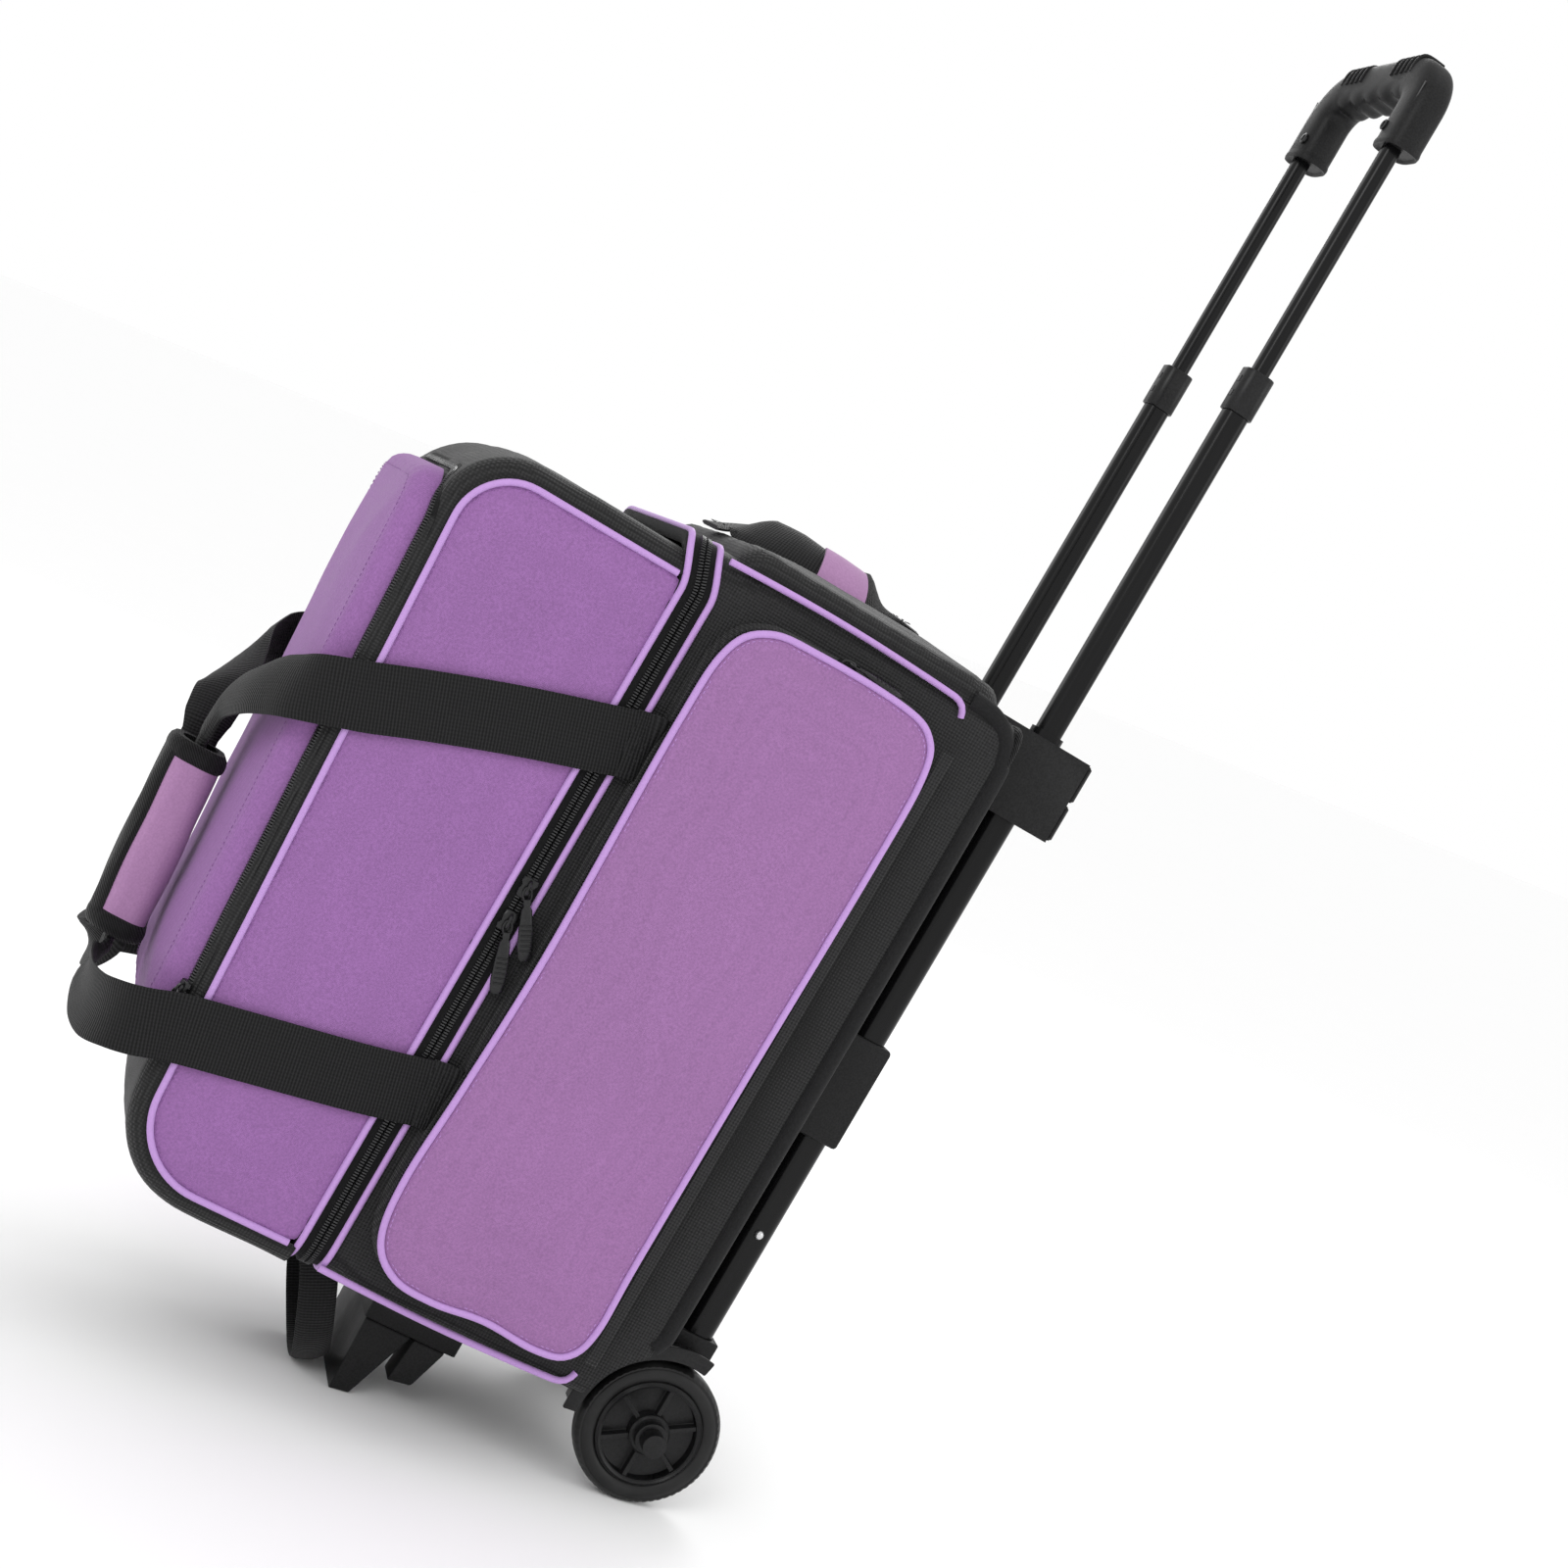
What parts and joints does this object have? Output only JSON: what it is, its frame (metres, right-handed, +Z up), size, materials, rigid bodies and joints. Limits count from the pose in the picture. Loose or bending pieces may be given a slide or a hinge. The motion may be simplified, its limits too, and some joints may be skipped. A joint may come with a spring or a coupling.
{
  "type": "bowling ball bag",
  "caption": "Roller bag for bowling balls held in line, with zipped lid, front flap, side pockets, carry straps, wheels, stand feet and telescopic pull handle.",
  "frame": {"origin": "centre of the footprint box at floor level, with the bag standing on its two wheels and front foot", "axes": "+Z up from the floor, +X towards the telescopic tubes at the back, +Y towards the far side where the lid is hinged"},
  "size_m": [0.652, 0.2946, 1.1037],
  "materials": {
    "lilac_fabric": "plain weave polyester, soft sheen",
    "lilac_piping": "satin covered cord",
    "lilac_wrap": "neoprene, matt",
    "black_fabric": "ballistic weave, matt",
    "black_webbing": "ribbed polypropylene webbing",
    "zip_tape": "zip tape with coil teeth",
    "zip_metal": "black enamel",
    "foam": "lined foam",
    "black_plastic": "fine moulded texture",
    "hub_plastic": "semi gloss",
    "tyre": "polyurethane tread",
    "tube_black": "gloss black powder coat",
    "steel": "plain"
  },
  "bodies": {
    "root": {"tub_near_side": "black_fabric", "tub_far_side": "black_fabric", "tub_top_end": "black_fabric", "tub_bottom_end": "black_fabric", "back_board": "black_fabric", "tub_zip_tape": "zip_tape", "tub_side_pipings": "lilac_piping", "ball_cradles": "foam", "ball_divider": "foam", "near_pocket_gusset": "zip_tape", "far_pocket_gusset": "zip_tape", "strap_tabs": "black_webbing", "top_end_handle": "black_webbing", "bottom_end_handle": "black_webbing", "base_tray": "black_plastic", "axle": "steel", "axle_caps": "hub_plastic", "wheel_housing_near": "black_plastic", "wheel_housing_far": "black_plastic", "stand_plate": "black_plastic", "front_foot": "black_plastic", "rear_feet": "black_plastic", "outer_tubes": "tube_black", "tube_sockets": "black_plastic", "tube_clips": "black_plastic", "tube_bracket": "black_plastic", "bracket_screws": "steel"},
    "lid": {"lid_near_side": "lilac_fabric", "lid_far_side": "lilac_fabric", "lid_gusset": "black_fabric", "lid_partition": "black_fabric", "lid_side_pipings": "lilac_piping", "lid_zip_tape": "zip_tape", "front_zip_tape": "zip_tape"},
    "flap": {"front_flap": "lilac_fabric"},
    "near_strap": {"near_carry_strap": "black_webbing", "grip_wrap": "lilac_wrap"},
    "far_strap": {"far_carry_strap": "black_webbing"},
    "near_door": {"near_pocket_door": "lilac_fabric", "near_pocket_piping": "lilac_piping"},
    "far_door": {"far_pocket_door": "lilac_fabric", "far_pocket_piping": "lilac_piping"},
    "middle_stage": {"middle_tubes": "tube_black", "tube_collars": "black_plastic"},
    "grip": {"inner_tubes": "tube_black", "grip_lower": "black_plastic", "grip_upper": "black_plastic"},
    "button": {"release_button": "hub_plastic"},
    "wheel_near": {"tyre_near": "tyre", "wheel_hub_near": "hub_plastic"},
    "wheel_far": {"tyre_far": "tyre", "wheel_hub_far": "hub_plastic"},
    "slider_upper": {"main_slider_upper": "zip_metal"},
    "slider_lower": {"main_slider_lower": "zip_metal"},
    "near_slider": {"near_pocket_slider": "zip_metal"},
    "far_slider": {"far_pocket_slider": "zip_metal"},
    "flap_slider": {"front_slider": "zip_metal"}
  },
  "joints": [
    {"name": "middle_tube_slide", "type": "slide", "parent": "root", "child": "middle_stage", "axis": [0.1564, 0, 0.9877], "range_m": [-0.243, 0]},
    {"name": "grip_slide", "type": "slide", "parent": "middle_stage", "child": "grip", "axis": [0.1564, 0, 0.9877], "range_m": [-0.168, 0]},
    {"name": "release_button", "type": "slide", "parent": "grip", "child": "button", "axis": [-0.1564, 0, -0.9877], "range_m": [0, 0.0035], "stiffness_N_per_m": 400, "springref_m": -0.002},
    {"name": "wheel_near_spin", "type": "hinge", "parent": "root", "child": "wheel_near", "pos_m": [0.1372, -0.0967, 0.05], "axis": [0, 1, 0], "continuous": true},
    {"name": "wheel_far_spin", "type": "hinge", "parent": "root", "child": "wheel_far", "pos_m": [0.1372, 0.0967, 0.05], "axis": [0, 1, 0], "continuous": true},
    {"name": "lid_open", "type": "hinge", "parent": "root", "child": "lid", "pos_m": [-0.08246, 0.122, 0.35714], "axis": [-0.1564, 0, -0.9877], "range_deg": [0, 75], "deforming": ["near_carry_strap", "grip_wrap"]},
    {"name": "flap_open", "type": "hinge", "parent": "lid", "child": "flap", "pos_m": [-0.23968, 0.1135, 0.39809], "axis": [-0.1071, 0, -0.9942], "range_deg": [0, 52.5]},
    {"name": "near_strap_swing", "type": "hinge", "parent": "root", "child": "near_strap", "pos_m": [-0.07021, -0.1285, 0.3552], "axis": [0.1564, 0, 0.9877], "range_deg": [0, 97.5]},
    {"name": "far_strap_swing", "type": "hinge", "parent": "root", "child": "far_strap", "pos_m": [-0.07021, 0.1285, 0.3552], "axis": [-0.1564, 0, -0.9877], "range_deg": [0, 97.5]},
    {"name": "near_pocket_open", "type": "hinge", "parent": "root", "child": "near_door", "pos_m": [0.10723, -0.1392, 0.32103], "axis": [0.1564, 0, 0.9877], "range_deg": [0, 90]},
    {"name": "far_pocket_open", "type": "hinge", "parent": "root", "child": "far_door", "pos_m": [0.10723, 0.1392, 0.32103], "axis": [-0.1564, 0, -0.9877], "range_deg": [0, 90]},
    {"name": "upper_slider", "type": "slide", "parent": "root", "child": "slider_upper", "axis": [0.1564, 0, 0.9877], "range_m": [0, 0.07]},
    {"name": "lower_slider", "type": "slide", "parent": "root", "child": "slider_lower", "axis": [0.1564, 0, 0.9877], "range_m": [-0.035, 0]},
    {"name": "near_pocket_slider", "type": "slide", "parent": "root", "child": "near_slider", "axis": [0.9877, 0, -0.1564], "range_m": [-0.02, 0.03]},
    {"name": "far_pocket_slider", "type": "slide", "parent": "root", "child": "far_slider", "axis": [0.9877, 0, -0.1564], "range_m": [-0.02, 0.03]},
    {"name": "front_slider", "type": "slide", "parent": "lid", "child": "flap_slider", "axis": [0.1071, 0, 0.9942], "range_m": [0, 0.28]}
  ],
  "couplings": [
    {"joint": "near_strap_swing", "follows": "lid_open", "ratio": 1.3},
    {"joint": "far_strap_swing", "follows": "lid_open", "ratio": 1.3},
    {"joint": "flap_open", "follows": "lid_open", "ratio": 0.7}
  ]
}
